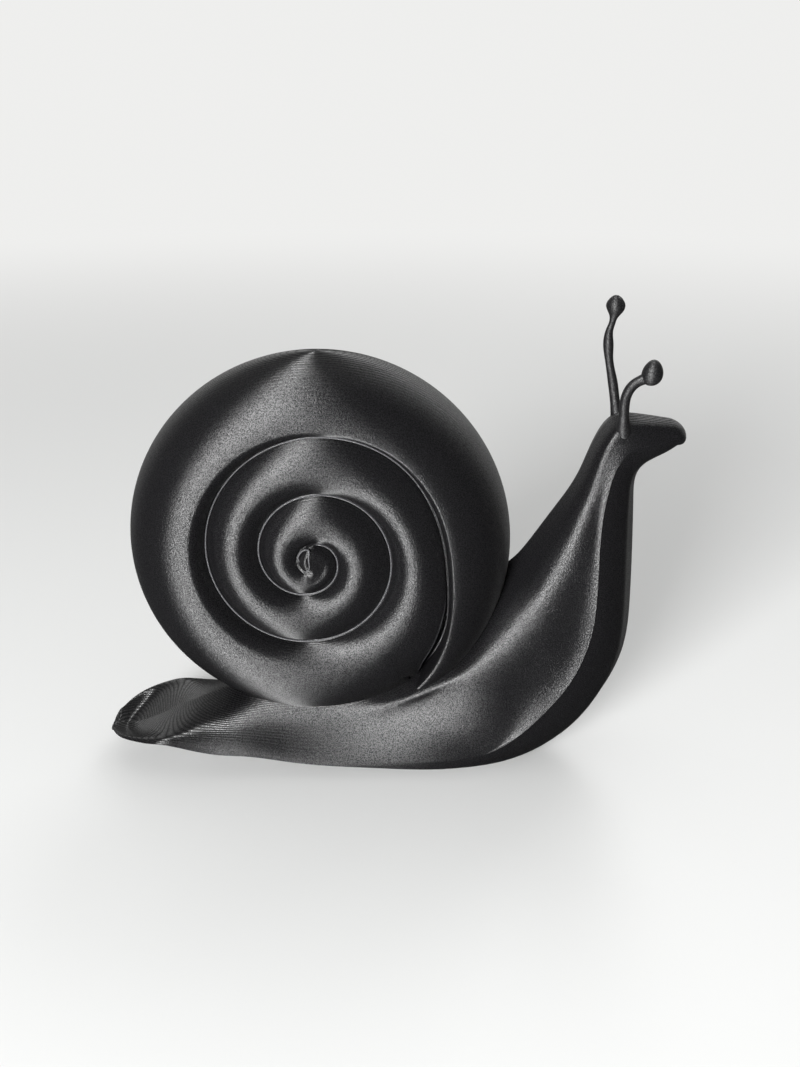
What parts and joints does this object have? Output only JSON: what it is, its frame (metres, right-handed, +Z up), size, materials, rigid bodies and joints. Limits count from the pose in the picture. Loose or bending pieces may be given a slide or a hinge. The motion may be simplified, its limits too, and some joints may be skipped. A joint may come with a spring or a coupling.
{
  "type": "snail figurine",
  "caption": "Free-standing snail ornament with a large flat coiled shell, a raised neck and two eye stalks, for display on a shelf or table.",
  "frame": {"origin": "on the ground, under the middle of the figurine's bounding box", "axes": "+X towards the head, +Y to the snail's left, +Z up"},
  "size_m": [0.11, 0.0294, 0.0895],
  "materials": {
    "printed_plastic": "satin black printed plastic with fine horizontal layer lines"
  },
  "bodies": {
    "root": {"body": "printed_plastic", "shell": "printed_plastic", "right_eye_stalk": "printed_plastic", "left_eye_stalk": "printed_plastic"}
  },
  "joints": []
}
